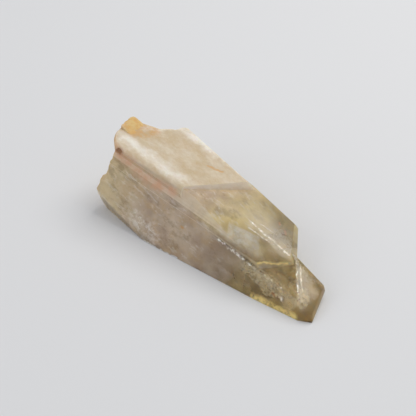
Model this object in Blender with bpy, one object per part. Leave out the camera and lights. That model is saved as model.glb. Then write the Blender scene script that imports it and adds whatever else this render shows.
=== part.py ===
"""Citrine crystal point: three quartz crystals grown together side by side as one solid.

It lies on the widest of its flat faces. +X runs along the length toward the tip, +Y to the back
long side, +Z up. The origin is under the middle of the crystal, on the face it rests on.

Sizes are in millimetres. Every flat face is written as (roll, lean, distance): roll turns the
face round the growth axis (0 up, 90 to the near side, 180 down, -90 to the back side), lean tips
it toward the tip, and distance is how far it lies from the datum, a point of the rest face half
way along the crystal.
"""
import math

import bmesh
import bpy
from mathutils import Vector, noise

MM = 0.001
# Points closer than this, in metres, are one point.
WELD = 0.000002

# The growth axis shared by the three crystals dips toward the tip and swings to the near side.
GROWTH_DIP = 8.0
GROWTH_YAW = -5.0

# Height of each crystal's underside above the rest face, and its length behind the datum before
# the end is broken off.
MAIN_SPAN = (0.0, 40.0)
MIDDLE_SPAN = (0.0, 39.0)
UPPER_SPAN = (0.9, 38.0)

# Main crystal: runs the whole length, and its tip is the tip of the point.
MAIN_FACES = {
    "near side": (64.5, 6.5, 2.6),
    "near side low": (108.3, -1.1, 6.05),
    "near tip": (62.6, 8.2, 3.1),
    "top": (14.3, 4.0, 7.2),
    "top rear": (2.0, -2.4, 11.3),
    "tip slope": (-4.5, 18.6, 14.0),
    "tip bevel": (-55.0, 55.5, 25.85),
    "tip end": (-117.0, 54.2, 23.3),
    "tip nick": (70.3, 32.8, 12.7),
    "back side": (-78.8, -5.2, 9.9),
    "back side low": (-125.0, 2.0, 9.5),
}

# Middle crystal: lies on the main one and stops short of its tip.
MIDDLE_FACES = {
    "near side": (64.5, 6.5, 2.68),
    "lip": (94.7, 8.0, -1.4),
    "top near": (11.3, 8.2, 9.25),
    "top far": (-8.0, 6.3, 11.75),
    "top rear": (-4.5, -1.9, 11.45),
    "worn ridge": (47.0, 5.1, 5.3),
    "end": (46.5, 41.0, 10.7),
    "end far": (-31.7, 26.7, 17.7),
    "end back": (-89.9, 42.9, 17.9),
    "back side": (-77.7, -2.1, 17.1),
    "back side low": (-125.0, 2.0, 13.4),
}

# Upper crystal: a thick plate on the half nearer the broken end, frosted on top.
UPPER_FACES = {
    "near side": (64.5, 6.5, 2.52),
    "near side low": (108.3, -1.1, 5.85),
    "top": (-0.5, -2.2, 11.85),
    "worn ridge": (47.0, 5.1, 5.45),
    "end": (25.9, 39.2, 0.3),
    "back side": (-78.0, 2.2, 16.0),
    "back side low": (-125.0, 2.0, 13.2),
}

# Remnant of a broken-off neighbour: a stained wedge on the upper back rim of the broken end.
REMNANT_SPAN = (5.0, 36.0)
REMNANT_FACES = {
    "top": (-3.0, 8.3, 6.27),
    "near side": (90.0, 0.0, -3.0),
    "front": (0.0, 90.0, -27.0),
    "end": (90.0, -71.6, 31.45),
    "end worn": (20.0, -50.0, 33.7),
    "back side": (-90.0, -8.7, 13.03),
    "back worn": (-45.0, 0.0, 12.9),
    "underside": (180.0, -32.5, 11.05),
}

# Side of the rough block that the flat faces cut down.
BLOCK = 140.0
# Points closer than this, in millimetres, are one point while the block is cut.
CUT_WELD = 0.0001

# Broken end: a rough surface across the growth axis. Places on it are given to the near side of
# that axis and up from it. It is a grid of cells over these stretches.
BREAK_AT = -29.7
BREAK_CELL = 0.9
BREAK_NEAR = (-19.0, 10.0)
BREAK_UP = (-9.0, 16.0)
BREAK_BACKING = 45.0
BULGE_AT = (-5.2, 11.0)
BULGE_SPAN = 7.1
BULGE_HEIGHT = 5.0
SHOULDER_FROM = -7.0
SHOULDER_SLOPE = 1.3
SHOULDER_DEPTH = 3.7
SHOULDER_RISE = (1.0, 8.0)
FOOT_FROM = -1.8
FOOT_SLOPE = 0.9
# Shell-shaped scoops of the break: (near, up, span, depth).
SCOOPS = (
    (1.0, 5.5, 4.5, 0.9),
    (-6.5, 3.5, 5.0, 1.5),
    (-12.5, 5.5, 4.0, 0.9),
    (-1.0, -1.0, 3.5, 0.7),
    (-10.0, -1.5, 3.5, 0.8),
)
# Roughness of the break: size and height of its coarse lumps, and how much smaller and lower the
# fine ones are.
ROUGH_SIZE = 2.2
ROUGH_HEIGHT = 0.45
FINE_SIZE = 1.0 / 2.3
FINE_HEIGHT = 0.5

# Small pit in the worn ridge near the broken end: centre and half sizes along the growth axis, to
# the near side and up, how uneven its wall is, and how fine that unevenness.
PIT_AT = (-28.3, 1.5, 10.1)
PIT_HALF = (0.8, 0.6, 0.6)
PIT_ROUGH = 0.2
PIT_BUMPS = 0.8
PIT_SUBDIVISIONS = 2


def growth_axes():
    """Unit vectors along the growth axis, to the near side of it and up across it."""
    dip = math.radians(GROWTH_DIP)
    yaw = math.radians(GROWTH_YAW)
    level = Vector((math.cos(yaw), math.sin(yaw), 0.0))
    along = level * math.cos(dip) - Vector((0.0, 0.0, math.sin(dip)))
    near = Vector((math.sin(yaw), -math.cos(yaw), 0.0))
    return along, near, near.cross(along)


ALONG, NEAR, UPWARD = growth_axes()


def growth_point(along, near, up):
    return ALONG * along + NEAR * near + UPWARD * up


def face_plane(roll, lean, distance):
    """Outward direction and distance of one flat face."""
    r = math.radians(roll)
    t = math.radians(lean)
    across = UPWARD * math.cos(r) + NEAR * math.sin(r)
    return across * math.cos(t) + ALONG * math.sin(t), distance


def cut_block(planes):
    """A block cut down to the space behind every plane."""
    bm = bmesh.new()
    bmesh.ops.create_cube(bm, size=BLOCK)
    for outward, distance in planes:
        bmesh.ops.bisect_plane(
            bm,
            geom=bm.verts[:] + bm.edges[:] + bm.faces[:],
            dist=CUT_WELD,
            plane_co=outward * distance,
            plane_no=outward,
            clear_outer=True,
        )
        rim = [edge for edge in bm.edges if edge.is_boundary]
        if rim:
            bmesh.ops.contextual_create(bm, geom=rim)
    bmesh.ops.triangulate(bm, faces=bm.faces[:])
    bmesh.ops.recalc_face_normals(bm, faces=bm.faces[:])
    return bm


def add_object(bm, name):
    mesh = bpy.data.meshes.new(name)
    bm.to_mesh(mesh)
    bm.free()
    item = bpy.data.objects.new(name, mesh)
    bpy.context.scene.collection.objects.link(item)
    return item


def make_crystal(name, faces, span):
    under, behind = span
    planes = [(Vector((0.0, 0.0, -1.0)), -under), (-ALONG, behind)]
    planes += [face_plane(*row) for row in faces.values()]
    return add_object(cut_block(planes), name)


def ramp(value, low, high):
    """0 below low, 1 above high, smooth between."""
    t = min(max((value - low) / (high - low), 0.0), 1.0)
    return t * t * (3.0 - 2.0 * t)


def dome(near, up, centre, span):
    """1 at the centre of a round patch, falling to 0 at its rim."""
    reach = math.hypot(near - centre[0], up - centre[1]) / span
    return max(0.0, 1.0 - reach * reach)


def break_depth(near, up):
    """Where the broken surface lies along the growth axis."""
    depth = BREAK_AT - BULGE_HEIGHT * dome(near, up, BULGE_AT, BULGE_SPAN)
    shoulder = min(SHOULDER_DEPTH, SHOULDER_SLOPE * max(0.0, SHOULDER_FROM - near))
    depth += shoulder * ramp(up, *SHOULDER_RISE)
    depth += FOOT_SLOPE * max(0.0, FOOT_FROM - up)
    depth += sum(d * dome(near, up, (n, u), span) for n, u, span, d in SCOOPS)
    spot = Vector((near, up, 0.0)) / ROUGH_SIZE
    rough = noise.noise(spot) + FINE_HEIGHT * noise.noise(spot / FINE_SIZE)
    return depth + ROUGH_HEIGHT * rough


def make_break():
    """Solid that carries away everything behind the broken end."""
    columns = round((BREAK_NEAR[1] - BREAK_NEAR[0]) / BREAK_CELL)
    rows = round((BREAK_UP[1] - BREAK_UP[0]) / BREAK_CELL)
    bm = bmesh.new()
    grid = bmesh.ops.create_grid(bm, x_segments=columns, y_segments=rows, size=0.5)
    for vert in grid["verts"]:
        near = BREAK_NEAR[0] + (vert.co.x + 0.5) * (BREAK_NEAR[1] - BREAK_NEAR[0])
        up = BREAK_UP[0] + (vert.co.y + 0.5) * (BREAK_UP[1] - BREAK_UP[0])
        vert.co = growth_point(break_depth(near, up), near, up)
    bmesh.ops.triangulate(bm, faces=bm.faces[:])
    front = bm.faces[:]
    made = bmesh.ops.extrude_face_region(bm, geom=front, use_keep_orig=True)
    for item in made["geom"]:
        if isinstance(item, bmesh.types.BMVert):
            out = item.co.dot(ALONG) + BREAK_BACKING
            item.co -= ALONG * out
    bm.normal_update()
    bmesh.ops.recalc_face_normals(bm, faces=bm.faces[:])
    return add_object(bm, "break")


def make_pit():
    """Rounded uneven body that cuts the pit."""
    bm = bmesh.new()
    bmesh.ops.create_icosphere(bm, subdivisions=PIT_SUBDIVISIONS, radius=1.0)
    for vert in bm.verts:
        swell = 1.0 + PIT_ROUGH * noise.noise(vert.co * PIT_BUMPS + Vector(PIT_AT))
        place = [c + h * swell * v for c, h, v in zip(PIT_AT, PIT_HALF, vert.co)]
        vert.co = growth_point(*place)
    bm.normal_update()
    bmesh.ops.recalc_face_normals(bm, faces=bm.faces[:])
    return add_object(bm, "pit")


def combine(body, tool, operation):
    """Join or cut with an exact boolean, then drop the tool."""
    step = body.modifiers.new(operation.lower(), "BOOLEAN")
    step.operation = operation
    step.solver = "EXACT"
    step.object = tool
    graph = bpy.context.evaluated_depsgraph_get()
    joined = bpy.data.meshes.new_from_object(body.evaluated_get(graph))
    body.modifiers.clear()
    bm = bmesh.new()
    bm.from_mesh(joined)
    bmesh.ops.remove_doubles(bm, verts=bm.verts[:], dist=CUT_WELD)
    bmesh.ops.triangulate(bm, faces=bm.faces[:])
    bm.to_mesh(joined)
    bm.free()
    body.data = joined
    bpy.data.objects.remove(tool, do_unlink=True)


def settle(body):
    """Scale to metres with the origin under the middle of the bounding box."""
    bm = bmesh.new()
    bm.from_mesh(body.data)
    low = Vector([min(v.co[i] for v in bm.verts) for i in range(3)])
    high = Vector([max(v.co[i] for v in bm.verts) for i in range(3)])
    under = Vector(((low.x + high.x) / 2.0, (low.y + high.y) / 2.0, low.z))
    for vert in bm.verts:
        vert.co = (vert.co - under) * MM
    bmesh.ops.remove_doubles(bm, verts=bm.verts[:], dist=WELD)
    bm.to_mesh(body.data)
    bm.free()
    return under


def citrine_material():
    material = bpy.data.materials.new("citrine")
    material.use_nodes = True
    shader = material.node_tree.nodes["Principled BSDF"]
    shader.inputs["Base Color"].default_value = (0.46, 0.36, 0.22, 1.0)
    shader.inputs["Roughness"].default_value = 0.35
    shader.inputs["Metallic"].default_value = 0.0
    return material


for old in list(bpy.data.objects):
    bpy.data.objects.remove(old, do_unlink=True)
point = make_crystal("citrine_point", MAIN_FACES, MAIN_SPAN)
combine(point, make_crystal("middle", MIDDLE_FACES, MIDDLE_SPAN), "UNION")
combine(point, make_crystal("upper", UPPER_FACES, UPPER_SPAN), "UNION")
combine(point, make_break(), "DIFFERENCE")
combine(point, make_crystal("remnant", REMNANT_FACES, REMNANT_SPAN), "UNION")
combine(point, make_pit(), "DIFFERENCE")
DATUM_SHIFT = settle(point)
point.data.materials.clear()
point.data.materials.append(citrine_material())
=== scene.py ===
"""Looks of a citrine crystal point: three quartz crystals grown together side by side.

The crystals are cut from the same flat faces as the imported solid, with worn edges, chips, a finely
broken end and frosted faces added. The tables and the growth frame are in millimetres and degrees.
The properties, the stage and the finished pieces are in metres.
"""
import math
import random
from functools import reduce

import bmesh
import bpy
from bpy.props import FloatProperty, FloatVectorProperty, IntProperty, PointerProperty
from mathutils import Matrix, Vector, noise


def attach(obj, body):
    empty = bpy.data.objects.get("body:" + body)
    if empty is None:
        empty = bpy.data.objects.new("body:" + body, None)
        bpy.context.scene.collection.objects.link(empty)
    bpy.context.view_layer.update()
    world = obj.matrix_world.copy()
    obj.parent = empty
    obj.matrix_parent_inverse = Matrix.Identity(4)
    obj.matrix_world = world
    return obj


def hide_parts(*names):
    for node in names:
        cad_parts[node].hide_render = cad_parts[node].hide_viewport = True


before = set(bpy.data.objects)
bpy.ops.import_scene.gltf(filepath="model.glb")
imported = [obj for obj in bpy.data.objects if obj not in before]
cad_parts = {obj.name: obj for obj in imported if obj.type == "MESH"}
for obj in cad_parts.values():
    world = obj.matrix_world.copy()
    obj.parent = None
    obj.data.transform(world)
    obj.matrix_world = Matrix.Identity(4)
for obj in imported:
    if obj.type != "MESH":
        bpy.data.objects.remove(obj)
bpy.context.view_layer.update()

bl_info = {
    "name": "Citrine crystal point",
    "version": (1, 0, 0),
    "blender": (4, 5, 0),
    "location": "3D View > Sidebar > Citrine",
    "description": "Builds a citrine crystal point with worn, frosted and clear faces",
    "category": "Add Mesh",
}

NODE = "citrine_point"
BODY = "root"
MM = 0.001

# The growth axis dips toward the tip and swings to the near side. Places on the crystal are
# (along it, to its near side, up across it) from a datum on the rest face.
GROWTH_DIP = 8.0
GROWTH_YAW = -5.0
DATUM = Vector((2.631, -7.8545, 0.0))
TO_ROW = Matrix.Scale(MM, 4) @ Matrix.Translation(DATUM)

# Height of each crystal's underside above the rest face, and its length behind the datum.
MAIN_SPAN = (0.0, 40.0)
MIDDLE_SPAN = (0.0, 39.0)
UPPER_SPAN = (0.9, 38.0)
REMNANT_SPAN = (5.0, 36.0)

# Flat faces as (roll, lean, distance): roll turns the face round the growth axis (0 up, 90 to the
# near side, -90 to the back side), lean tips it toward the tip, distance is from the datum.
MAIN_FACES = {
    "near side": (64.5, 6.5, 2.6),
    "near side low": (108.3, -1.1, 6.05),
    "near tip": (62.6, 8.2, 3.1),
    "top": (14.3, 4.0, 7.2),
    "top rear": (2.0, -2.4, 11.3),
    "tip slope": (-4.5, 18.6, 14.0),
    "tip bevel": (-55.0, 55.5, 25.85),
    "tip end": (-117.0, 54.2, 23.3),
    "tip nick": (70.3, 32.8, 12.7),
    "back side": (-78.8, -5.2, 9.9),
    "back side low": (-125.0, 2.0, 9.5),
}
MIDDLE_FACES = {
    "near side": (64.5, 6.5, 2.68),
    "lip": (94.7, 8.0, -1.4),
    "top near": (11.3, 8.2, 9.25),
    "top far": (-8.0, 6.3, 11.75),
    "top rear": (-4.5, -1.9, 11.45),
    "worn ridge": (47.0, 5.1, 5.3),
    "end": (46.5, 41.0, 10.7),
    "end far": (-31.7, 26.7, 17.7),
    "end back": (-89.9, 42.9, 17.9),
    "back side": (-77.7, -2.1, 17.1),
    "back side low": (-125.0, 2.0, 13.4),
}
UPPER_FACES = {
    "near side": (64.5, 6.5, 2.52),
    "near side low": (108.3, -1.1, 5.85),
    "top": (-0.5, -2.2, 11.85),
    "worn ridge": (47.0, 5.1, 5.45),
    "end": (25.9, 39.2, 0.3),
    "back side": (-78.0, 2.2, 16.0),
    "back side low": (-125.0, 2.0, 13.2),
}
REMNANT_FACES = {
    "top": (-3.0, 8.3, 6.27),
    "near side": (90.0, 0.0, -3.0),
    "front": (0.0, 90.0, -27.0),
    "end": (90.0, -71.6, 31.45),
    "end worn": (20.0, -50.0, 33.7),
    "back side": (-90.0, -8.7, 13.03),
    "back worn": (-45.0, 0.0, 12.9),
    "underside": (180.0, -32.5, 11.05),
}
# Wear of a crystal's edges, in the order it is cut: the two faces of each edge, and the width.
MAIN_WEAR = (("near side", "near side low", 0.3),)
MIDDLE_WEAR = (
    ("top far", "back side", 0.3),
    ("top rear", "back side", 0.4),
    ("worn ridge", "near side", 0.5),
    ("worn ridge", "top near", 0.4),
)
UPPER_WEAR = (
    ("worn ridge", "top", 0.75),
    ("worn ridge", "near side", 0.75),
    ("top", "back side", 0.7),
    ("top", "end", 0.35),
    ("back side", "end", 0.3),
)

# Finishes that faces carry, each from 0 to 1. Pale is also painted light on two end faces.
FINISHES = ("frost", "wear", "rough", "glassy", "golden", "pale")
MAIN_LOOKS = {
    "near tip": {"glassy": 0.7, "golden": 0.8},
    "top": {"glassy": 0.7},
    "tip slope": {"glassy": 0.9, "golden": 1.0},
    "tip bevel": {"glassy": 0.6, "golden": 0.7},
    "tip end": {"glassy": 0.6, "golden": 0.7},
    "tip nick": {"glassy": 1.0, "golden": 1.0},
    "back side": {"glassy": 0.3, "golden": 0.3},
}
MIDDLE_LOOKS = {
    "lip": {"pale": 0.3, "golden": 0.2},
    "top near": {"pale": 0.1, "golden": 0.1},
    "top far": {"glassy": 0.4, "golden": 0.5},
    "worn ridge": {"frost": 0.45, "pale": 0.4},
    # Pale on the middle crystal's end is partly its cloudy colour and partly a painted reflection.
    "end": {"pale": 0.6, "golden": 0.6},
    "end far": {"golden": 1.0, "pale": 0.35},
    "end back": {"glassy": 0.2, "golden": 0.8, "pale": 0.2},
    "back side": {"glassy": 0.2, "golden": 0.2},
}
UPPER_LOOKS = {
    "top": {"frost": 1.0},
    "worn ridge": {"frost": 0.8},
    # Pale on the upper crystal's end is painted light: the face turns away from the light and is lightened.
    "end": {"frost": 0.3, "pale": 1.0},
    "back side": {"pale": 0.2},
}

CRYSTALS = {
    "crystal": (MAIN_FACES, MAIN_SPAN, MAIN_LOOKS, MAIN_WEAR),
    "middle": (MIDDLE_FACES, MIDDLE_SPAN, MIDDLE_LOOKS, MIDDLE_WEAR),
    "upper": (UPPER_FACES, UPPER_SPAN, UPPER_LOOKS, UPPER_WEAR),
}

BLOCK = 140.0
CUT_WELD = 0.0001
# Corners closer than this are one corner before an edge is worn.
CORNER_WELD = 0.15
# How well a face on a plane matches its direction and distance.
FACING_MATCH = 0.9995
PLANE_MATCH = 0.02
# Edges that turn more than this are worn, and shaded as creases.
WORN_ANGLE = 14.0
CREASE_ANGLE = 32.0
# Frosted and rough faces over this are shaded smooth.
SMOOTH_OVER = 0.3

# Broken end: its reach near and up, bulge, shoulder, foot, and scoops as (near, up, span, depth).
BREAK_AT = -29.7
BREAK_NEAR = (-19.0, 10.0)
BREAK_UP = (-9.0, 16.0)
BREAK_BACKING = 45.0
BULGE_AT = (-5.2, 11.0)
BULGE_SPAN = 7.1
BULGE_HEIGHT = 5.0
SHOULDER_FROM = -7.0
SHOULDER_SLOPE = 1.3
SHOULDER_DEPTH = 3.7
SHOULDER_RISE = (1.0, 8.0)
FOOT_FROM = -1.8
FOOT_SLOPE = 0.9
SCOOPS = (
    (1.0, 5.5, 4.5, 0.9),
    (-6.5, 3.5, 5.0, 1.5),
    (-12.5, 5.5, 4.0, 0.9),
    (-1.0, -1.0, 3.5, 0.7),
    (-10.0, -1.5, 3.5, 0.8),
)
# Brow that fills the break out below the top's back corner.
BROW_AT = (-12.3, 10.9)
BROW_SPAN = 2.8
BROW_HEIGHT = 1.25
ROUGH_SIZE = 2.2
ROUGH_HEIGHT = 0.45
FINE_SIZE = 1.0 / 2.3
FINE_HEIGHT = 0.5
# Fine relief of the break: ripples round a centre, steps between cells, and grain.
RELIEF_SLICE = 3.0
RIPPLE_AT = (-3.0, -6.0)
RIPPLE_RATE = 7.0
RIPPLE_SWAY = 2.0
RIPPLE_SWAY_SIZE = 3.0
RIPPLE_HEIGHT = 0.02
STEP_SIZE = 1.5
STEP_HEIGHT = 0.26
GRAIN_RATE = 1.6
GRAIN_HEIGHT = 0.09
# Rounding of the break's rim: its depth and how far out it grows, as shares of its width.
RIM_DROP = 0.6
RIM_REACH = 1.2

# Remnant: rounds of cutting its edges down to a length, rounds of smoothing, and its bumps.
REMNANT_ROUNDS = 6
REMNANT_CELL = 0.6
REMNANT_SMOOTHINGS = 4
REMNANT_BUMP_RATE = 1.1
REMNANT_BUMP = 0.12

PIT_AT = (-28.3, 1.5, 10.1)
PIT_HALF = (0.8, 0.6, 0.6)
PIT_BUMP_RATE = 1.3
PIT_BUMP = 0.3
PIT_STAIN_REACH = (1.6, 1.2, 1.0)

FROST_RATE = 0.4
FROST_SINK = 0.2

# Chipped edges of the main crystal: the two faces, and where the chips start and end.
CHIPPED_EDGES = (
    ("near side", "top", 3.0, 12.0),
    ("near tip", "top", 13.0, 22.0),
    ("top", "tip slope", 17.0, 22.0),
)
# Chips: share of the largest size, least size, stretch, reach out from the edge, and lumps.
CHIP_SHARE = (0.15, 1.0)
CHIP_POWER = 1.5
CHIP_LEAST = 0.07
CHIP_STRETCH = (1.0, 2.2)
CHIP_OUT = 0.55
CHIP_LUMP_RATE = 2.5
CHIP_LUMP = 0.5

# Painted marks, in (along, near, up): a line's two ends and reach, or a patch's middle and reach.
STAIN_LINES = (
    ((-30.5, 1.7, 9.9), (-18.3, 1.2, 9.1), 2.1),
    ((-18.3, 1.2, 9.1), (-12.5, 0.0, 9.8), 1.9),
)
# Pale lines on the frosted top: white streaks, and along its back rim a painted highlight.
PALE_LINES = (
    ((-30.5, -1.6, 10.7), (-13.0, -3.0, 11.2), 2.2),
    ((-27.0, -14.6, 10.8), (-16.0, -14.6, 11.2), 2.4),
    ((-16.0, -14.6, 11.2), (-7.2, -14.6, 11.5), 1.2),
    ((-31.0, -7.0, 10.6), (-26.5, -14.4, 10.8), 1.6),
)
# Painted shade: a tan line along the step at the end of the upper crystal's top.
LEDGE_SHADE = ((-11.5, -0.6, 10.4), (-3.0, -14.0, 10.2), 1.2)
YELLOW_STREAK = ((-13.5, -10.3, 11.3), (-10.2, -11.5, 11.3), 0.45)
ORANGE_SPOT = ((-6.5, 1.3, 5.2), (0.7, 0.5, 0.5))
TAUPE_PATCH = ((16.8, -4.6, 6.4), (3.2, 2.6, 1.5))
WEDGE_PATCH = ((-31.6, -7.2, 11.0), (5.4, 5.4, 2.8))
VEIL_PATCH = ((-15.5, 4.6, 0.7), (8.0, 2.5, 3.2))
LIP_PATCH = ((5.0, -2.2, 9.3), (9.0, 1.5, 1.2))
# Corners of a pale facet, as (along, near), in the order that keeps it on the right from above.
WHITE_FACET = ((1.4, -3.9), (7.7, -6.6), (12.2, -2.6), (4.6, -0.5))
# Painted shade: a dark strip low on the near side, just above the floor.
LOW_SHADE_STRIP = ((-31.0, 5.6, -2.4), (-9.0, 5.0, -1.7), 1.6)

# Fineness of a veil's waves, and how far it faces along the growth axis before its length runs to
# the near side.
VEIL_WAVE_RATE = 0.35
VEIL_LIMIT = 0.8
# Veils inside the clear part: the crystal, the veil's middle, the way it faces as (along, near,
# up), and its half length, half width and waviness.
VEILS = (
    ("middle", (6.5, -5.0, 8.2), (0.25, 0.35, 0.9), (5.0, 1.6, 0.7)),
    ("middle", (8.5, -8.5, 8.3), (0.1, -0.4, 0.9), (4.5, 0.9, 0.5)),
    ("middle", (2.0, -8.5, 8.6), (-0.2, 0.2, 0.95), (4.0, 2.2, 0.6)),
    ("crystal", (12.0, -2.6, 5.2), (0.2, 0.7, 0.6), (4.5, 1.4, 0.8)),
    ("crystal", (19.5, -6.0, 5.6), (0.85, 0.3, 0.3), (1.2, 2.6, 0.5)),
    ("crystal", (16.5, -4.0, 3.4), (0.3, 0.4, 0.8), (3.5, 1.8, 0.7)),
    ("crystal", (22.0, -6.2, 4.2), (0.4, -0.3, 0.8), (2.0, 1.6, 0.5)),
)
# Iron flecks: form before they are turned, lumps, then each one's middle and size.
FLECK_FORM = (1.5, 0.8, 0.35)
FLECK_LUMP_RATE = 1.4
FLECK_LUMP = 0.6
FLECKS = (
    ((6.7, -12.4, 8.7), 0.26),
    ((9.2, -11.8, 8.6), 0.3),
    ((9.9, -11.2, 8.3), 0.16),
    ((17.8, -2.7, 4.6), 0.24),
    ((18.6, -3.2, 4.0), 0.16),
    ((15.2, -5.2, 6.4), 0.15),
    ((12.1, -6.3, 7.2), 0.18),
    ((21.3, -5.4, 6.0), 0.17),
    ((22.6, -4.6, 5.6), 0.14),
    ((3.6, -9.4, 9.2), 0.15),
    ((-1.5, -7.2, 9.6), 0.16),
    ((7.9, -3.4, 7.0), 0.17),
)

# Lights, in metres and degrees: size, azimuth, elevation, distance and tint.
KEY_LIGHT = (0.32, 178.0, 56.0, 0.5, (1.0, 0.985, 0.96))
FILL_LIGHT = (0.4, -10.0, 35.0, 0.6, (0.96, 0.98, 1.0))
# Gap under the rest face, in metres.
FLOOR_GAP = 0.00003


# ---- settings


def srgb(red, green, blue):
    """A display colour, 0 to 255 each, as the linear colour a shader uses."""
    def linear(value):
        part = value / 255.0
        return part / 12.92 if part <= 0.04045 else ((part + 0.055) / 1.055) ** 2.4
    return linear(red), linear(green), linear(blue)


def colour(name, description, default):
    return FloatVectorProperty(
        name=name, description=description, default=default, size=3, subtype="COLOR", min=0.0, max=1.0
    )


def number(name, description, default, unit="NONE"):
    return FloatProperty(
        name=name, description=description, default=default, min=0.0, unit=unit, precision=5
    )


def length(name, description, default):
    return number(name, description, default, "LENGTH")


def angle(name, description, degrees):
    return FloatProperty(
        name=name, description=description, default=math.radians(degrees), subtype="ANGLE"
    )


class CitrineShape(bpy.types.PropertyGroup):
    edge_width: length("Edge wear", "Width of the wear along the sharp edges", 0.0001)
    rim_width: length("Rim wear", "Rounding of the broken end's rim", 0.0006)
    break_cell: length("Break detail", "Size of the cells of the broken end", 0.00028)
    frost_cell: length("Frost detail", "Size of the cells of the frosted top", 0.0004)
    frost_depth: length("Frost depth", "Unevenness of the frosted top", 0.0001)
    chips: IntProperty(name="Chips", description="Chips along each chipped edge", default=6)
    chip_size: length("Chip size", "Size of the largest chips", 0.00034)
    seed: IntProperty(name="Seed", description="Choice of where the chips are", default=7)


class CitrineFinish(bpy.types.PropertyGroup):
    milk: colour("Milk", "Cloudy quartz of the body", srgb(203, 183, 158))
    taupe: colour("Taupe", "Grey-brown shade in the cloudy quartz", srgb(188, 164, 140))
    sand: colour("Sand", "Pale tan near the broken end", srgb(218, 198, 158))
    honey: colour("Honey", "Golden quartz toward the tip", srgb(236, 212, 136))
    amber: colour("Amber", "Deeper gold at the very tip", srgb(240, 202, 100))
    fleck: colour("Fleck", "Iron oxide that reaches the faces", srgb(128, 52, 24))
    # Gold colours the painted highlights and reflections along thin edges.
    gold: colour("Gold", "Bright gold of thin edges", srgb(250, 222, 140))
    # Brown also colours the painted shade below edges and in the nick at the tip.
    brown: colour("Brown", "Dark brown of deep places", srgb(122, 94, 46))
    frost: colour("Frost", "Frosted top face and break", srgb(206, 186, 152))
    # Rim also colours the painted highlights: the flashes and the back rim of the top.
    rim: colour("Rim", "White of worn edges and streaks", srgb(248, 243, 232))
    tan: colour("Tan", "Tan stain in the cloudy quartz", srgb(200, 168, 120))
    stain: colour("Stain", "Iron stain along the worn ridge", srgb(210, 164, 128))
    rust: colour("Rust", "Strong iron stain", srgb(214, 160, 86))
    dark: colour("Dark stain", "Dark red-brown of the pit", srgb(126, 82, 72))
    # Shade colours the painted shade of the low strip on the near side.
    shade: colour("Shade", "Dark low strip, near side", srgb(68, 52, 36))
    clear: colour("Clear", "Tint of the clear quartz's surface", (1.0, 0.985, 0.95))
    absorb: colour("Absorption", "Colour the clear quartz lets through", (0.94, 0.74, 0.10))
    absorb_density: number("Absorption density", "Absorption per metre", 54.0)
    ior: number("IOR", "Refraction of quartz", 1.544)


class CitrineInside(bpy.types.PropertyGroup):
    veil: colour("Veil", "Thin white veils inside", srgb(245, 236, 214))
    veil_stain: colour("Veil stain", "Tan parts of the veils", srgb(222, 200, 150))
    fleck: colour("Fleck", "Iron flecks inside", srgb(150, 62, 28))
    fleck_dark: colour("Dark fleck", "Darker parts of the flecks", srgb(92, 40, 24))
    veil_thickness: length("Veil thickness", "Thickness of the veils", 0.00002)
    depth: length("Depth", "Least depth of the veils below the faces", 0.0003)
    seed: IntProperty(name="Seed", description="Choice of veil and fleck shapes", default=3)


class CitrineStage(bpy.types.PropertyGroup):
    floor: colour("Floor", "Floor colour", srgb(226, 226, 226))
    floor_size: length("Floor size", "Side of the floor", 3.0)
    azimuth: angle("Azimuth", "Camera's turn round the crystal", 46.0)
    elevation: angle("Elevation", "Camera's height above the horizon", 36.0)
    field: angle("Field of view", "Camera's field of view", 17.0)
    distance: length("Distance", "Camera's distance from its target", 0.2978)
    target: FloatVectorProperty(
        name="Target", description="Point that the camera looks at",
        default=(-0.010369, 0.005546, 0.0), size=3, unit="LENGTH"
    )
    key_power: number("Key light", "Power of the key light", 1.2, "POWER")
    fill_power: number("Fill light", "Power of the fill light", 0.55, "POWER")
    sky: number("Surroundings", "Strength of the surroundings", 0.52)


# ---- growth frame


def growth_axes():
    """Unit vectors along the growth axis, to the near side of it and up across it."""
    dip = math.radians(GROWTH_DIP)
    yaw = math.radians(GROWTH_YAW)
    level = Vector((math.cos(yaw), math.sin(yaw), 0.0))
    along = level * math.cos(dip) - Vector((0.0, 0.0, math.sin(dip)))
    near = Vector((math.sin(yaw), -math.cos(yaw), 0.0))
    return along, near, near.cross(along)


ALONG, NEAR, UPWARD = growth_axes()


def growth_point(along, near, up):
    """A place of the growth frame, in row directions from the datum."""
    return ALONG * along + NEAR * near + UPWARD * up


def face_plane(roll, lean, distance):
    """Outward direction and distance of one flat face."""
    r = math.radians(roll)
    t = math.radians(lean)
    across = UPWARD * math.cos(r) + NEAR * math.sin(r)
    return across * math.cos(t) + ALONG * math.sin(t), distance


def crystal_planes(faces, span):
    """Every plane that bounds a crystal."""
    under, behind = span
    bounds = [(Vector((0.0, 0.0, -1.0)), -under), (-ALONG, behind)]
    return bounds + [face_plane(*row) for row in faces.values()]


def depth_inside(point, crystals):
    """How deep a point lies under the nearest face of the crystals it is in."""
    return max(min(d - outward.dot(point) for outward, d in planes) for planes in crystals)


def edge_point(faces, first, second, along):
    """Where the edge of two faces passes a place on the growth axis."""
    rows = [face_plane(*faces[first]), face_plane(*faces[second]), (ALONG, along)]
    turn = Matrix([outward for outward, distance in rows])
    return turn.inverted() @ Vector([distance for outward, distance in rows])


# ---- mesh building


def add_object(bm, name):
    mesh = bpy.data.meshes.new(name)
    bm.to_mesh(mesh)
    bm.free()
    item = bpy.data.objects.new(name, mesh)
    bpy.context.scene.collection.objects.link(item)
    return item


def new_bmesh():
    bm = bmesh.new()
    for key in FINISHES:
        bm.faces.layers.float.new(key)
    return bm


def tag(bm, faces, **values):
    """Gives faces their finishes."""
    for key, value in values.items():
        layer = bm.faces.layers.float[key]
        for face in faces:
            face[layer] = value


def layered(place, falloff, layers):
    """Noise about 0 in ever finer layers, each weaker the larger the falloff."""
    return noise.fractal(place, falloff, 2.0, layers)


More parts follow.
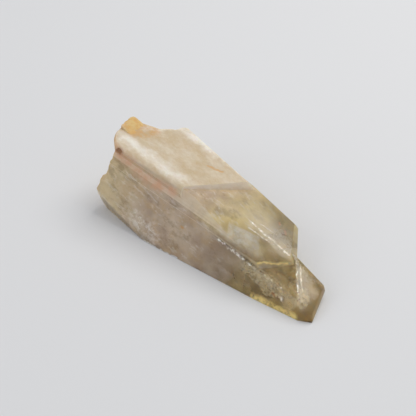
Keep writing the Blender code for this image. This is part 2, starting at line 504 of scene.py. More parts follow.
def cut_away(bm, outward, distance):
    """Removes what lies in front of a plane."""
    bmesh.ops.bisect_plane(
        bm, geom=bm.verts[:] + bm.edges[:] + bm.faces[:], dist=CUT_WELD,
        plane_co=outward * distance, plane_no=outward, clear_outer=True
    )


def cut_block(planes):
    """A block cut down to the space behind every plane."""
    bm = new_bmesh()
    bmesh.ops.create_cube(bm, size=BLOCK)
    for outward, distance in planes:
        cut_away(bm, outward, distance)
        rim = [edge for edge in bm.edges if edge.is_boundary]
        if rim:
            bmesh.ops.contextual_create(bm, geom=rim)
    bmesh.ops.remove_doubles(bm, verts=bm.verts[:], dist=CORNER_WELD)
    bmesh.ops.recalc_face_normals(bm, faces=bm.faces[:])
    bm.normal_update()
    return bm


def wear_edges(bm, edges, width, segments, **finish):
    """Rounds edges and gives the new faces a finish."""
    if not edges:
        return
    made = bmesh.ops.bevel(
        bm, geom=edges, offset=width, offset_type="OFFSET", affect="EDGES", segments=segments,
        profile=0.5, material=-1, clamp_overlap=True
    )
    tag(bm, made["faces"], **finish)
    bm.normal_update()


def faces_on(bm, plane):
    outward, distance = plane
    flat = [f for f in bm.faces if f.normal.dot(outward) > FACING_MATCH]
    return {f for f in flat if abs(f.calc_center_median().dot(outward) - distance) < PLANE_MATCH}


def make_crystal(name, faces, span, looks, wear, shape):
    """One crystal with its worn edges, each face with its finish."""
    bm = cut_block(crystal_planes(faces, span))
    planes = {key: face_plane(*row) for key, row in faces.items()}
    for key, finish in looks.items():
        tag(bm, faces_on(bm, planes[key]), **finish)
    for first, second, width in wear:
        sides = faces_on(bm, planes[first]), faces_on(bm, planes[second])
        between = [e for e in bm.edges if all(any(f in side for f in e.link_faces) for side in sides)]
        finish = dict(looks.get(first, {}))
        finish["frost"] = max(looks.get(key, {}).get("frost", 0.0) for key in (first, second))
        finish["wear"] = 0.45
        wear_edges(bm, between, width, segments=4, **finish)
    crystal_faces = set().union(*(faces_on(bm, plane) for plane in planes.values()))
    sharp = [e for e in bm.edges if e.calc_face_angle(0.0) > math.radians(WORN_ANGLE)]
    sharp = [e for e in sharp if all(f in crystal_faces for f in e.link_faces)]
    wear_edges(bm, sharp, shape.edge_width / MM, segments=2, wear=1.0)
    bmesh.ops.triangulate(bm, faces=bm.faces[:])
    return add_object(bm, name)


def ramp(value, low, high):
    """0 below low, 1 above high, smooth between."""
    t = min(max((value - low) / (high - low), 0.0), 1.0)
    return t * t * (3.0 - 2.0 * t)


def dome(near, up, centre, span):
    """1 at the centre of a round patch, falling to 0 at its rim."""
    reach = math.hypot(near - centre[0], up - centre[1]) / span
    return max(0.0, 1.0 - reach * reach)


def break_depth(near, up):
    """Where the broken surface lies along the growth axis."""
    depth = BREAK_AT - BULGE_HEIGHT * dome(near, up, BULGE_AT, BULGE_SPAN)
    shoulder = min(SHOULDER_DEPTH, SHOULDER_SLOPE * max(0.0, SHOULDER_FROM - near))
    depth += shoulder * ramp(up, *SHOULDER_RISE)
    depth += FOOT_SLOPE * max(0.0, FOOT_FROM - up)
    depth += sum(d * dome(near, up, (n, u), span) for n, u, span, d in SCOOPS)
    depth -= BROW_HEIGHT * dome(near, up, BROW_AT, BROW_SPAN)
    spot = Vector((near, up, 0.0)) / ROUGH_SIZE
    rough = noise.noise(spot) + FINE_HEIGHT * noise.noise(spot / FINE_SIZE)
    return depth + ROUGH_HEIGHT * rough


def conchoid(near, up):
    """Fine ripples and steps of the break, in millimetres."""
    spot = Vector((near, up, RELIEF_SLICE))
    reach = math.hypot(near - RIPPLE_AT[0], up - RIPPLE_AT[1])
    ripple = math.sin(RIPPLE_RATE * reach + RIPPLE_SWAY * noise.noise(spot / RIPPLE_SWAY_SIZE))
    cells = noise.voronoi(spot / STEP_SIZE)[0]
    step = (cells[1] - cells[0]) * STEP_HEIGHT
    return RIPPLE_HEIGHT * ripple - step + GRAIN_HEIGHT * layered(spot * GRAIN_RATE, 0.9, 4)


def make_break(shape):
    """Solid that carries away everything behind the broken end, its rim rounded."""
    crystals = [crystal_planes(*rows[:2]) for rows in CRYSTALS.values()]
    cell = shape.break_cell / MM
    rim = shape.rim_width / MM
    (back, front), (low, high) = BREAK_NEAR, BREAK_UP
    columns = round((front - back) / cell)
    rows = round((high - low) / cell)
    bm = new_bmesh()
    grid = bmesh.ops.create_grid(bm, x_segments=columns, y_segments=rows, size=0.5)
    for vert in grid["verts"]:
        near = back + (vert.co.x + 0.5) * (front - back)
        up = low + (vert.co.y + 0.5) * (high - low)
        depth = break_depth(near, up)
        inside = depth_inside(growth_point(depth, near, up), crystals)
        edge = min(max(1.0 - inside / rim, 0.0), RIM_REACH)
        depth += conchoid(near, up) * ramp(inside, -rim, 2.0 * rim)
        vert.co = growth_point(depth + RIM_DROP * rim * edge * edge, near, up)
    tag(bm, bm.faces, rough=1.0, frost=1.0)
    bmesh.ops.triangulate(bm, faces=bm.faces[:])
    made = bmesh.ops.extrude_face_region(bm, geom=bm.faces[:], use_keep_orig=True)
    for item in made["geom"]:
        if isinstance(item, bmesh.types.BMVert):
            item.co -= ALONG * (item.co.dot(ALONG) + BREAK_BACKING)
    bm.normal_update()
    bmesh.ops.recalc_face_normals(bm, faces=bm.faces[:])
    return add_object(bm, "break")


def make_remnant():
    """Stained wedge left from a broken neighbour, rounded and rough."""
    bm = cut_block(crystal_planes(REMNANT_FACES, REMNANT_SPAN))
    bmesh.ops.triangulate(bm, faces=bm.faces[:])
    for _ in range(REMNANT_ROUNDS):
        long_edges = [e for e in bm.edges if e.calc_length() > REMNANT_CELL]
        bmesh.ops.subdivide_edges(bm, edges=long_edges, cuts=1)
        bmesh.ops.triangulate(bm, faces=bm.faces[:])
    for _ in range(REMNANT_SMOOTHINGS):
        bmesh.ops.smooth_vert(
            bm, verts=bm.verts[:], factor=0.5, use_axis_x=True, use_axis_y=True, use_axis_z=True
        )
    bm.normal_update()
    bumps = [layered(v.co * REMNANT_BUMP_RATE, 0.8, 4) for v in bm.verts]
    for vert, bump in zip(bm.verts, bumps):
        vert.co += vert.normal * REMNANT_BUMP * bump
    tag(bm, bm.faces, rough=1.0, frost=1.0)
    bm.normal_update()
    return add_object(bm, "remnant")


def make_pit():
    """Rounded uneven body that cuts the pit."""
    bm = new_bmesh()
    bmesh.ops.create_icosphere(bm, subdivisions=3, radius=1.0)
    for vert in bm.verts:
        swell = 1.0 + PIT_BUMP * noise.noise(vert.co * PIT_BUMP_RATE + Vector(PIT_AT))
        place = [c + h * swell * v for c, h, v in zip(PIT_AT, PIT_HALF, vert.co)]
        vert.co = growth_point(*place)
    tag(bm, bm.faces, rough=1.0)
    bm.normal_update()
    bmesh.ops.recalc_face_normals(bm, faces=bm.faces[:])
    return add_object(bm, "pit")


def combine(body, tool, operation):
    """Joins or cuts with an exact boolean, then drops the tool."""
    step = body.modifiers.new(operation.lower(), "BOOLEAN")
    step.operation = operation
    step.solver = "EXACT"
    step.object = tool
    graph = bpy.context.evaluated_depsgraph_get()
    joined = bpy.data.meshes.new_from_object(body.evaluated_get(graph))
    body.modifiers.clear()
    bm = bmesh.new()
    bm.from_mesh(joined)
    bmesh.ops.remove_doubles(bm, verts=bm.verts[:], dist=CUT_WELD)
    bmesh.ops.triangulate(bm, faces=bm.faces[:])
    bm.to_mesh(joined)
    bm.free()
    body.data = joined
    bpy.data.objects.remove(tool)


def grid_cut(bm, plane, cell):
    """Cuts the faces on a plane into cells along and across the growth axis."""
    for direction in (ALONG, NEAR):
        reach = [v.co.dot(direction) for f in faces_on(bm, plane) for v in f.verts]
        place = min(reach) + cell
        while place < max(reach):
            faces = faces_on(bm, plane)
            edges = {e for f in faces for e in f.edges}
            verts = {v for f in faces for v in f.verts}
            bmesh.ops.bisect_plane(
                bm, geom=[*verts, *edges, *faces], dist=PLANE_MATCH,
                plane_co=direction * place, plane_no=direction
            )
            place += cell
    return faces_on(bm, plane)


def frost_top(body, shape):
    """Roughens the top face of the upper crystal."""
    plane = face_plane(*UPPER_FACES["top"])
    bm = bmesh.new()
    bm.from_mesh(body.data)
    bm.normal_update()
    flat = faces_on(bm, plane)
    inner = [e for e in bm.edges if len(e.link_faces) == 2 and all(f in flat for f in e.link_faces)]
    bmesh.ops.dissolve_edges(bm, edges=inner, use_verts=False)
    faces = grid_cut(bm, plane, shape.frost_cell / MM)
    inside = {v for f in faces for v in f.verts if all(g in faces for g in v.link_faces)}
    for vert in inside:
        wave = layered(vert.co * FROST_RATE, 0.7, 5) - FROST_SINK
        vert.co += plane[0] * wave * shape.frost_depth / MM
    bmesh.ops.triangulate(bm, faces=bm.faces[:])
    bm.to_mesh(body.data)
    bm.free()


def chip_edge(body, faces, first, second, start, end, dice, shape):
    """Knocks small chips out of the edge of two faces."""
    out = (face_plane(*faces[first])[0] + face_plane(*faces[second])[0]).normalized()
    places = sorted(dice.uniform(start, end) for _ in range(shape.chips))
    for index, along in enumerate(places):
        size = shape.chip_size / MM * dice.uniform(*CHIP_SHARE) ** CHIP_POWER
        size = max(size, CHIP_LEAST)
        centre = edge_point(faces, first, second, along)
        bm = new_bmesh()
        bmesh.ops.create_icosphere(bm, subdivisions=2, radius=size)
        stretch = dice.uniform(*CHIP_STRETCH)
        for vert in bm.verts:
            lump = noise.noise(vert.co * CHIP_LUMP_RATE + Vector((index, along, 0.0)))
            vert.co += vert.co.normalized() * size * CHIP_LUMP * lump
            vert.co += ALONG * vert.co.dot(ALONG) * (stretch - 1.0)
            vert.co += centre + out * size * CHIP_OUT
        tag(bm, bm.faces, wear=1.0, pale=1.0)
        bm.normal_update()
        combine(body, add_object(bm, "chip"), "DIFFERENCE")


def finish_mesh(body):
    """Puts the crystal in the row frame, frosted and rough faces shaded smooth."""
    bm = bmesh.new()
    bm.from_mesh(body.data)
    bmesh.ops.transform(bm, matrix=TO_ROW, verts=bm.verts[:])
    layers = [bm.faces.layers.float[key] for key in ("frost", "rough")]
    for face in bm.faces:
        face.smooth = max(face[layer] for layer in layers) > SMOOTH_OVER
    bm.to_mesh(body.data)
    bm.free()
    body.data.set_sharp_from_angle(angle=math.radians(CREASE_ANGLE))


def grow_point(shape):
    """The three crystals joined, with the broken end, the remnant, the pit and the chips."""
    body, *others = [make_crystal(name, *rows, shape) for name, rows in CRYSTALS.items()]
    for other in others:
        combine(body, other, "UNION")
    combine(body, make_break(shape), "DIFFERENCE")
    combine(body, make_remnant(), "UNION")
    combine(body, make_pit(), "DIFFERENCE")
    frost_top(body, shape)
    dice = random.Random(shape.seed)
    for row in CHIPPED_EDGES:
        chip_edge(body, MAIN_FACES, *row, dice, shape)
    finish_mesh(body)
    return body


# ---- veils and flecks


def random_shift(dice, reach=9.0):
    """Moves a noise, so that each veil and fleck has a form of its own."""
    return Vector([dice.uniform(-reach, reach) for _ in range(3)])


def pour(bm, whole):
    """Adds a mesh to the whole and frees it."""
    part = bpy.data.meshes.new("part")
    bm.to_mesh(part)
    bm.free()
    whole.from_mesh(part)
    bpy.data.meshes.remove(part)


def to_row(bm, name):
    """Puts a finished mesh in the row frame, shaded smooth, as an object."""
    bmesh.ops.transform(bm, matrix=TO_ROW, verts=bm.verts[:])
    bmesh.ops.recalc_face_normals(bm, faces=bm.faces[:])
    for face in bm.faces:
        face.smooth = True
    return add_object(bm, name)


def make_veils(inside):
    """Thin wavy veils within the clear part, kept under the faces."""
    dice = random.Random(inside.seed)
    whole = bmesh.new()
    for name, centre, facing, size in VEILS:
        bm = bmesh.new()
        fade = bm.verts.layers.float.new("fade")
        bmesh.ops.create_grid(bm, x_segments=28, y_segments=20, size=0.5)
        across = ALONG if abs(facing[0]) < VEIL_LIMIT else NEAR
        outward = (ALONG * facing[0] + NEAR * facing[1] + UPWARD * facing[2]).normalized()
        side = outward.cross(across).normalized()
        shift = random_shift(dice)
        for vert in bm.verts:
            x, y = vert.co.x * 2.0, vert.co.y * 2.0
            vert[fade] = max(0.0, 1.0 - x * x) * max(0.0, 1.0 - y * y)
            place = side.cross(outward) * x * size[0] + side * y * size[1]
            wave = layered(place * VEIL_WAVE_RATE + shift, 0.8, 4) * size[2]
            vert.co = growth_point(*centre) + place + outward * wave
        for outside, distance in crystal_planes(*CRYSTALS[name][:2]):
            cut_away(bm, outside, distance - inside.depth / MM)
        bm.normal_update()
        bmesh.ops.solidify(bm, geom=bm.faces[:], thickness=inside.veil_thickness / MM)
        pour(bm, whole)
    return to_row(whole, "veils")


def make_flecks(inside):
    """Small flakes of iron oxide inside the clear part."""
    dice = random.Random(inside.seed + 1)
    whole = bmesh.new()
    for centre, size in FLECKS:
        bm = bmesh.new()
        bmesh.ops.create_icosphere(bm, subdivisions=3, radius=1.0)
        shift = random_shift(dice)
        turn = Matrix.Rotation(dice.uniform(0.0, math.pi), 3, Vector((dice.random(), dice.random(), 1.0)))
        for vert in bm.verts:
            lump = 1.0 + FLECK_LUMP * layered(vert.co * FLECK_LUMP_RATE + shift, 0.8, 3)
            flat = Vector([part * form for part, form in zip(vert.co, FLECK_FORM)])
            vert.co = growth_point(*centre) + turn @ (flat * lump * size)
        pour(bm, whole)
    return to_row(whole, "flecks")


# ---- shader maths


class Value:
    """A shader socket that arithmetic works on. Each expression adds its Math nodes."""

    def __init__(self, maker, socket):
        self.maker = maker
        self.socket = socket

    def math(self, operation, *values, clamp=False):
        settings = {"operation": operation, "use_clamp": clamp}
        return self.maker.node("ShaderNodeMath", settings, *values)

    def __add__(self, other):
        return self.math("ADD", self, other)

    __radd__ = __add__

    def __sub__(self, other):
        return self.math("SUBTRACT", self, other)

    def __rsub__(self, other):
        return self.math("SUBTRACT", other, self)

    def __mul__(self, other):
        return self.math("MULTIPLY", self, other)

    __rmul__ = __mul__

    def top(self, other):
        """The larger of the two, from 0 to 1."""
        return self.math("MAXIMUM", self, other, clamp=True)


class Maker:
    """Makes one material's nodes."""

    def __init__(self, name):
        self.material = bpy.data.materials.new(name)
        self.material.use_nodes = True
        self.tree = self.material.node_tree
        self.tree.nodes.clear()

    def node(self, kind, settings, *values, output=None, **named):
        """Adds a node from its settings and its sockets' values or links."""
        made = self.tree.nodes.new(kind)
        for key, value in settings.items():
            setattr(made, key, value)
        open_sockets = [socket for socket in made.inputs if socket.enabled]
        pairs = list(zip(open_sockets, values))
        pairs += [(made.inputs[key.replace("_", " ")], value) for key, value in named.items()]
        for socket, value in pairs:
            if isinstance(value, Value):
                self.tree.links.new(value.socket, socket)
            elif socket.type == "RGBA":
                socket.default_value = (*tuple(value)[:3], 1.0)
            else:
                socket.default_value = value
        if output:
            return Value(self, made.outputs[output])
        outputs = [socket for socket in made.outputs if socket.enabled]
        return Value(self, outputs[0]) if outputs else None

    def principled(self, **named):
        return self.node("ShaderNodeBsdfPrincipled", {}, **named)

    def finished(self, **named):
        """The material, with its output linked."""
        self.node("ShaderNodeOutputMaterial", {}, **named)
        return self.material

    def vector(self, operation, *values):
        return self.node("ShaderNodeVectorMath", {"operation": operation}, *values)

    def mix(self, factor, first, second):
        """Mixes two colours."""
        return self.node("ShaderNodeMix", {"data_type": "RGBA"}, factor, first, second)

    def coats(self, shade, *rows):
        """Paints colours over a shade in turn, each given as its cover and the colour."""
        for cover, tint in rows:
            shade = self.mix(cover, shade, tint)
        return shade

    def attribute(self, name):
        return self.node("ShaderNodeAttribute", {"attribute_name": name}, output="Fac")

    def smooth(self, value, low, high):
        """0 at low, 1 at high, smooth between."""
        return self.node("ShaderNodeMapRange", {"interpolation_type": "SMOOTHSTEP"}, value, low, high)

    def growth(self):
        """Object coordinates as (along, near, up) in millimetres, and each of the three."""
        point = self.node("ShaderNodeTexCoord", {}, output="Object")
        shifted = self.vector("SUBTRACT", point, DATUM * MM)
        parts = [self.vector("DOT_PRODUCT", shifted, axis / MM) for axis in (ALONG, NEAR, UPWARD)]
        return self.node("ShaderNodeCombineXYZ", {}, *parts), *parts

    def scaled(self, place, size, seed, stretch):
        """A place for a texture: features of a size, longer where stretch is, moved by a seed."""
        small = self.vector("DIVIDE", place, Vector(stretch) * size)
        return self.vector("ADD", small, (seed, seed * 0.7, seed * 1.3))

    def noise(self, place, size, seed, detail=3.0, roughness=0.5, stretch=(1.0, 1.0, 1.0), output=None):
        """Noise about 0.5, its size in millimetres."""
        place = self.scaled(place, size, seed, stretch)
        settings = {"noise_dimensions": "3D"}
        return self.node("ShaderNodeTexNoise", settings, place, 1.0, detail, roughness, output=output)

    def cells(self, place, size, seed, stretch=(1.0, 1.0, 1.0)):
        """Straight-sided patches, each with its own value about 0.5."""
        place = self.scaled(place, size, seed, stretch)
        settings = {"feature": "F1", "voronoi_dimensions": "3D"}
        shades = self.node("ShaderNodeTexVoronoi", settings, place, 1.0, output="Color")
        return self.vector("DOT_PRODUCT", shades, (0.4, 0.3, 0.3))

    def warp(self, place, amount, size, seed):
        """A place moved about by noise, so that marks painted there have uneven edges."""
        shift = self.noise(place, size, seed, 3.0, 0.6, output="Color")
        centred = self.vector("SUBTRACT", shift, (0.5, 0.5, 0.5))
        return self.vector("ADD", place, self.vector("SCALE", centred, 2.0 * amount))

    def spot(self, place, centre, reach, soft=0.8):
        """1 in the middle of an oval spot, falling to 0 at its edge."""
        offset = self.vector("DIVIDE", self.vector("SUBTRACT", place, centre), reach)
        return self.smooth(self.vector("LENGTH", offset), 1.0, 1.0 - soft)

    def line(self, place, start, end, width, soft=0.9):
        """1 along the middle of a line, falling to 0 at its width."""
        run = Vector(end) - Vector(start)
        offset = self.vector("SUBTRACT", place, start)
        part = self.vector("DOT_PRODUCT", offset, run / run.length_squared)
        part = self.node("ShaderNodeClamp", {}, part)
        off = self.vector("SUBTRACT", offset, self.vector("SCALE", run, part))
        return self.smooth(self.vector("LENGTH", off), width, width * (1.0 - soft))

    def polygon(self, place, corners, soft):
        """1 within a convex outline whose corners are given as (along, near)."""
        sides = []
        for start, end in zip(corners, corners[1:] + corners[:1]):
            run = (Vector(end) - Vector(start)).normalized()
            offset = self.vector("SUBTRACT", place, (*start, 0.0))
            reach = self.vector("DOT_PRODUCT", offset, (-run.y, run.x, 0.0))
            sides.append(self.smooth(reach, -soft, soft))
        return reduce(Value.__mul__, sides)

    def lines(self, place, rows, soft=0.9):
        return reduce(Value.top, [self.line(place, *row, soft) for row in rows])


# ---- materials


def edge_line(faces, first, second, start, end, width):
    """A line along part of an edge, for marks painted on it."""
    ends = [edge_point(faces, first, second, along) for along in (start, end)]
    return *[Vector([point.dot(axis) for axis in (ALONG, NEAR, UPWARD)]) for point in ends], width


def body_colour(m, finish, grown, along, up, cloud, coarse):
    """Colour of the cloudy quartz on the faces that aren't frosted."""
    behind = m.smooth(along + (cloud - 0.5) * 14.0, -15.0, -27.0)
    high = m.smooth(up, 7.8, 9.2) * m.smooth(along + (cloud - 0.5) * 8.0, -9.0, 3.0)
    gold = m.smooth(along + (coarse - 0.5) * 12.0, 4.0, 17.0).top(high * 0.8)
    gold = gold.top(m.attribute("golden"))
    deep = m.mix(m.smooth(along + (cloud - 0.5) * 10.0, 12.0, 24.0), finish.honey, finish.amber)
    patches = m.noise(grown, 3.2, 0.93, 6.0, 0.72, (1.6, 1.0, 1.0))
    depths = m.noise(grown, 2.6, 6.31, 5.0, 0.65, (1.8, 1.0, 1.0))
    streaks = m.noise(m.warp(grown, 0.6, 2.0, 1.1), 0.7, 2.93, 4.0, 0.6, (5.0, 1.2, 1.0))
    warped = m.warp(grown, 1.2, 2.5, 2.1)
    net = m.smooth(m.noise(grown, 0.9, 4.4, 6.0, 0.75, (1.7, 1.0, 1.0)), 0.44, 0.62)
    lip = m.spot(warped, *LIP_PATCH, 0.8) * 0.7
    lip = lip.top(m.polygon(grown, WHITE_FACET, 0.22) * m.smooth(up, 8.4, 9.2))
    return m.coats(
        finish.milk,
        (m.smooth(coarse, 0.38, 0.6), finish.taupe),
        (behind, finish.sand),
        (gold, deep),
        (m.smooth(patches, 0.46, 0.64) * (0.5 - gold * 0.3), finish.tan),
        (m.smooth(depths, 0.5, 0.66) * 0.38, finish.brown),
        (m.smooth(streaks, 0.54, 0.68) * 0.28, finish.rim),
        (m.spot(warped, *VEIL_PATCH) * net * 0.62, finish.rim),
        (lip * (0.38 + net * 0.45), finish.rim),
        (m.attribute("pale") * 0.5, finish.rim),
        (m.line(warped, *LEDGE_SHADE) * 0.5, finish.tan),
        (m.spot(m.warp(grown, 0.25, 0.6, 3.3), *ORANGE_SPOT) * 0.8, finish.rust),
        (m.lines(warped, SHADED_LINES) * 0.5, finish.brown),
        (m.spot(warped, *NICK_SHADE, 0.7) * 0.8, finish.brown),
        (m.spot(warped, *TAUPE_PATCH) * 0.55, finish.taupe),
        (m.line(warped, *LOW_SHADE_STRIP, 0.7) * 0.42, finish.shade),
    )


def frost_colour(m, finish, grown):
    """Colour of the frosted top face and of the break."""
    blotch = m.noise(grown, 3.0, 1.7, 7.0, 0.68, (1.5, 1.0, 1.0))
    white = m.noise(m.warp(grown, 0.5, 1.5, 4.9), 2.4, 7.3, 8.0, 0.75, (2.2, 1.0, 1.0))
    specks = m.noise(grown, 0.8, 5.9, 6.0, 0.75, (2.4, 1.0, 1.0))
    lanes = m.lines(m.warp(grown, 1.4, 2.2, 5.2), PALE_LINES)
    return m.coats(
        finish.frost,
        (m.smooth(blotch, 0.36, 0.68) * 0.32, finish.tan),
        (m.smooth(white, 0.36, 0.7) * 0.36, finish.rim),
        (m.smooth(specks, 0.54, 0.68) * 0.3, finish.tan),
        (lanes * (0.48 + m.smooth(white, 0.40, 0.62) * 0.3), finish.rim),
        (m.line(m.warp(grown, 0.35, 0.9, 6.1), *YELLOW_STREAK) * 0.75, finish.rust),
    )


def citrine_material(finish):
    """Clear smoky-gold quartz with cloudy, frosted, worn and iron-stained parts."""
    m = Maker("citrine")
    grown, along, _, up = m.growth()
    frost, wear, rough, glassy, pale = [
        m.attribute(key) for key in ("frost", "wear", "rough", "glassy", "pale")
    ]
    coarse = m.noise(grown, 6.0, 0.11, 2.0)
    cloud = m.noise(grown, 2.4, 0.37, 4.0, 0.6)
    fine = m.noise(grown, 0.55, 0.71, 4.0, 0.65)
    grain = m.noise(grown, 0.14, 0.53, 3.0, 0.6)

    # Cloudy toward the broken end, clear toward the tip.
    front = along + (coarse - 0.5) * 14.0 + (cloud - 0.5) * 8.0
    haze = 1.0 - m.smooth(front, -8.0, 13.0)
    cell = m.cells(m.warp(grown, 0.5, 2.0, 3.9), 2.2, 2.4, (1.9, 1.0, 1.0))
    inner = (1.0 - haze) * (1.0 - frost)
    milk = 0.24 + 0.66 * haze - glassy * 0.12 + (cloud - 0.5) * 0.5 + pale * 0.4 + (cell - 0.5) * 0.16 * inner
    bruise = m.lines(m.warp(grown, 0.5, 1.2, 7.7), BRUISES, 0.8)
    marks = m.noise(grown, 0.9, 3.91, 5.0, 0.75)
    broken = m.smooth(marks + bruise * 0.2 + (fine - 0.5) * 0.4, 0.62, 0.78) * (wear * 0.7).top(bruise)
    # Painted highlights: bright flashes and gold lines where edges catch the light.
    flash = m.lines(m.warp(grown, 0.4, 1.1, 2.7), FLASHES, 0.7) * m.smooth(marks, 0.36, 0.56)
    gold = m.lines(m.warp(grown, 0.6, 1.4, 6.6), GOLD_LINES, 0.9) * m.smooth(marks, 0.26, 0.54)
    fleck = m.lines(m.warp(grown, 0.25, 0.5, 9.7), FLECK_LINES, 0.8)
    solid = milk.top(frost).top(broken).top(flash * 0.9).top(gold * 0.85).top(fleck)

    stain = m.lines(m.warp(grown, 0.9, 1.8, 8.4), STAIN_LINES, 0.9)
    iron = m.smooth(cloud + (fine - 0.5) * 0.5, 0.40, 0.62)
    wedge = m.spot(m.warp(grown, 0.8, 1.5, 1.9), *WEDGE_PATCH, 0.5)
    pit = m.spot(m.warp(grown, 0.4, 0.6, 9.1), PIT_AT, PIT_STAIN_REACH, 0.8)
    shade = m.coats(
        body_colour(m, finish, grown, along, up, cloud, coarse),
        (m.smooth(cell, 0.55, 0.75) * inner * 0.14, finish.rim),
        (m.smooth(cell, 0.45, 0.25) * inner * 0.14, finish.brown),
        (frost, frost_colour(m, finish, grown)),
        (stain * (0.45 + m.smooth(cloud, 0.38, 0.6) * 0.5), finish.stain),
        (iron * 0.55 * rough, finish.rust),
        (wedge * 0.5, finish.tan),
        (wedge * rough * 0.45, finish.amber),
        (wedge * (0.05 + iron * 0.5), finish.rust),
        (pit * 0.55, finish.dark),
        (gold * 0.8, finish.gold),
        (fleck * 0.8, finish.fleck),
        (broken.top(flash * 0.85), finish.rim),
    )

    relief = grain * (0.12 + frost * 0.9) + fine * (0.25 + rough + frost * 0.6)
    relief = relief + m.noise(grown, 0.5, 1.9, 3.0, 0.5, (0.4, 4.0, 4.0)) * 0.35
    bump = m.node("ShaderNodeBump", {}, Strength=0.4, Distance=0.00012, Height=relief)
    clear = m.principled(
        Base_Color=finish.clear, Roughness=0.03 + frost * 0.4 + fine * 0.08, IOR=finish.ior,
        Transmission_Weight=1.0, Normal=bump
    )
    cloudy = m.principled(
        Base_Color=shade, Roughness=0.3 + frost * 0.3 + (fine - 0.5) * 0.2, IOR=finish.ior,
        Subsurface_Weight=0.6, Subsurface_Radius=(1.0, 0.8, 0.55), Subsurface_Scale=0.0012,
        Normal=bump
    )
    surface = m.node("ShaderNodeMixShader", {}, solid, clear, cloudy)
    volume = m.node("ShaderNodeVolumeAbsorption", {}, finish.absorb, finish.absorb_density)
    return m.finished(Surface=surface, Volume=volume)


def veil_material(inside):
    """White wisps, thinning to nothing at their edges."""
    m = Maker("veil")
    wisps = m.noise(m.growth()[0], 0.9, 0.4, 5.0, 0.7, (2.0, 1.0, 1.0))
    cover = m.smooth(wisps, 0.38, 0.6) * m.smooth(m.attribute("fade"), 0.0, 0.5)
    shade = m.mix(m.smooth(wisps, 0.5, 0.7), inside.veil, inside.veil_stain)
    return m.finished(Surface=m.principled(Base_Color=shade, Roughness=0.35, Alpha=cover))


def fleck_material(inside):
    """Red-brown iron oxide, darker in places."""
    m = Maker("fleck")
    spots = m.noise(m.growth()[0], 0.15, 0.4, 3.0, 0.6)
    shade = m.mix(m.smooth(spots, 0.4, 0.6), inside.fleck, inside.fleck_dark)
    return m.finished(Surface=m.principled(Base_Color=shade, Roughness=0.4 + spots * 0.3))


def floor_material(settings):
    m = Maker("floor")
    return m.finished(Surface=m.principled(Base_Color=settings.floor, Roughness=0.8))


# Dark stretches below edges, where the clear quartz looks deep.
SHADED_LINES = (
    edge_line(MAIN_FACES, "near side", "top", 9.0, 14.0, 1.0),
    edge_line(MAIN_FACES, "tip nick", "tip slope", 24.0, 27.0, 0.9),
    ((15.4, -0.7, 3.4), (18.8, -2.0, 4.8), 0.3),
    ((10.5, -2.3, 7.2), (15.2, -6.6, 7.6), 0.6),
)
# Thin edges that gather the light, brightest gold.
GOLD_LINES = (
    ((14.6, -0.1, 2.4), (24.2, -2.4, 3.8), 1.3),
    ((12.0, -2.6, 8.1), (15.6, -7.2, 8.5), 0.5),
)
# Bright thin streaks, where inner edges catch the light.
FLASHES = (
    edge_line(MIDDLE_FACES, "top near", "top far", 3.5, 14.5, 0.3),
    ((4.6, -6.2, 10.1), (9.8, -7.4, 9.6), 0.22),
    ((5.2, -8.8, 10.1), (9.5, -10.2, 9.6), 0.18),
    edge_line(MAIN_FACES, "near side", "top", 4.8, 8.8, 0.55),
    ((17.6, -8.9, 8.1), (22.6, -5.4, 6.8), 0.35),
    ((19.6, -2.6, 5.3), (20.4, -2.3, 4.9), 0.45),
    ((-13.6, 5.5, -1.9), (-4.5, 3.8, -0.6), 0.3),
)
# Iron flecks that reach the faces.
FLECK_LINES = (
    ((6.5, -12.9, 9.4), (7.0, -12.6, 9.3), 0.3),
    ((8.9, -12.4, 9.2), (9.7, -11.9, 9.1), 0.36),
    ((17.8, -2.0, 5.1), (18.5, -2.1, 4.8), 0.34),
    ((10.6, -10.6, 9.1), (11.0, -10.2, 9.1), 0.24),
)
# Painted shade: a dark brown spot over the nick at the tip.
NICK_SHADE = ((25.6, -3.3, 4.9), (1.8, 1.8, 1.8))

# Whitened stretches of edges.
BRUISES = (
    edge_line(MAIN_FACES, "near side", "top", 2.0, 13.5, 0.5),
    edge_line(MAIN_FACES, "near tip", "top", 13.5, 19.0, 0.35),
    edge_line(MAIN_FACES, "top", "tip slope", 16.5, 22.5, 0.35),
    edge_line(MIDDLE_FACES, "top near", "top far", 3.0, 14.5, 0.3),
)


# ---- operators


def give(piece, material):
    """Gives a piece its material and its body."""
    piece.data.materials.clear()
    piece.data.materials.append(material)
    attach(piece, BODY)


class CITRINE_OT_point(bpy.types.Operator):
    """Builds the crystal with its worn edges, broken end and frosted top"""
    bl_idname = "citrine.point"
    bl_label = "Crystal point"

    def execute(self, context):
        body = grow_point(context.scene.citrine_shape)
        give(body, citrine_material(context.scene.citrine_finish))
        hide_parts(NODE)
        return {"FINISHED"}


class CITRINE_OT_inside(bpy.types.Operator):
    """Adds the thin veils and the iron flecks inside the clear part"""
    bl_idname = "citrine.inside"
    bl_label = "Veils and flecks"

    def execute(self, context):
        inside = context.scene.citrine_inside
        give(make_veils(inside), veil_material(inside))
        give(make_flecks(inside), fleck_material(inside))
        return {"FINISHED"}


class CITRINE_OT_stage(bpy.types.Operator):
    """Adds the pale floor, the soft lights and the camera"""
    bl_idname = "citrine.stage"
    bl_label = "Floor, lights and camera"

    def execute(self, context):
        settings = context.scene.citrine_stage
        add_floor(settings)
        add_lights(context.scene, settings)
        add_camera(context.scene, settings)
        return {"FINISHED"}


def add_floor(settings):
    bm = bmesh.new()
    bmesh.ops.create_grid(bm, x_segments=1, y_segments=1, size=settings.floor_size / 2.0)
    bmesh.ops.translate(bm, vec=(0.0, 0.0, -FLOOR_GAP), verts=bm.verts[:])
    floor = add_object(bm, "floor")
    floor.data.materials.append(floor_material(settings))


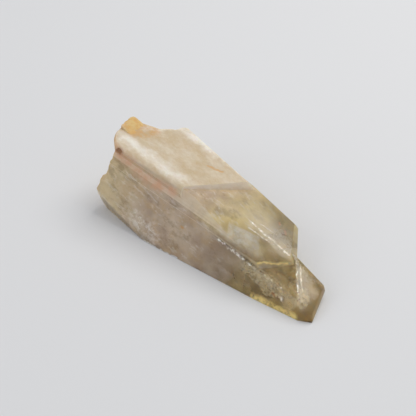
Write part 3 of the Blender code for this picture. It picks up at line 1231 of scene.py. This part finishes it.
def aim(name, data, target, azimuth, elevation, reach):
    """Adds a light or a camera that looks at a target."""
    item = bpy.data.objects.new(name, data)
    level = math.cos(elevation)
    toward = Vector((math.sin(azimuth) * level, -math.cos(azimuth) * level, math.sin(elevation)))
    item.location = target + toward * reach
    item.rotation_mode = "QUATERNION"
    item.rotation_quaternion = toward.to_track_quat("Z", "Y")
    bpy.context.scene.collection.objects.link(item)
    return item


def add_light(name, power, size, azimuth, elevation, reach, tint):
    lamp = bpy.data.lights.new(name, "AREA")
    lamp.energy = power
    lamp.size = size
    lamp.color = tint
    aim(name, lamp, Vector(), math.radians(azimuth), math.radians(elevation), reach)


def add_lights(scene, settings):
    add_light("key", settings.key_power, *KEY_LIGHT)
    add_light("fill", settings.fill_power, *FILL_LIGHT)
    world = bpy.data.worlds.new("surroundings")
    world.use_nodes = True
    sky = world.node_tree.nodes["Background"]
    sky.inputs["Color"].default_value = (0.93, 0.95, 1.0, 1.0)
    sky.inputs["Strength"].default_value = settings.sky
    scene.world = world


def add_camera(scene, settings):
    lens = bpy.data.cameras.new("camera")
    lens.lens = lens.sensor_width / 2.0 / math.tan(settings.field / 2.0)
    lens.clip_start = 0.01
    lens.clip_end = 10.0
    target = Vector(settings.target)
    scene.camera = aim(
        "camera", lens, target, settings.azimuth, settings.elevation, settings.distance
    )
    scene.view_settings.view_transform = "Standard"


class CITRINE_PT_panel(bpy.types.Panel):
    """Lists the crystal's sizes and colours and the buttons that build it"""
    bl_idname = "CITRINE_PT_panel"
    bl_label = "Citrine crystal point"
    bl_space_type = "VIEW_3D"
    bl_region_type = "UI"
    bl_category = "Citrine"

    def draw(self, context):
        column = self.layout.column()
        for name, kind in GROUPS.items():
            for item in kind.__annotations__:
                column.prop(getattr(context.scene, name), item)
        for operator in OPERATORS:
            column.operator(operator.bl_idname)


OPERATORS = (CITRINE_OT_point, CITRINE_OT_inside, CITRINE_OT_stage)
GROUPS = {
    "citrine_shape": CitrineShape,
    "citrine_finish": CitrineFinish,
    "citrine_inside": CitrineInside,
    "citrine_stage": CitrineStage,
}


def register():
    for item in (*GROUPS.values(), *OPERATORS, CITRINE_PT_panel):
        bpy.utils.register_class(item)
    for name, group in GROUPS.items():
        setattr(bpy.types.Scene, name, PointerProperty(type=group))


def unregister():
    for name in GROUPS:
        delattr(bpy.types.Scene, name)
    for item in reversed((*GROUPS.values(), *OPERATORS, CITRINE_PT_panel)):
        bpy.utils.unregister_class(item)


def main():
    register()
    bpy.ops.citrine.point()
    bpy.ops.citrine.inside()
    bpy.ops.citrine.stage()


if __name__ == "__main__":
    main()
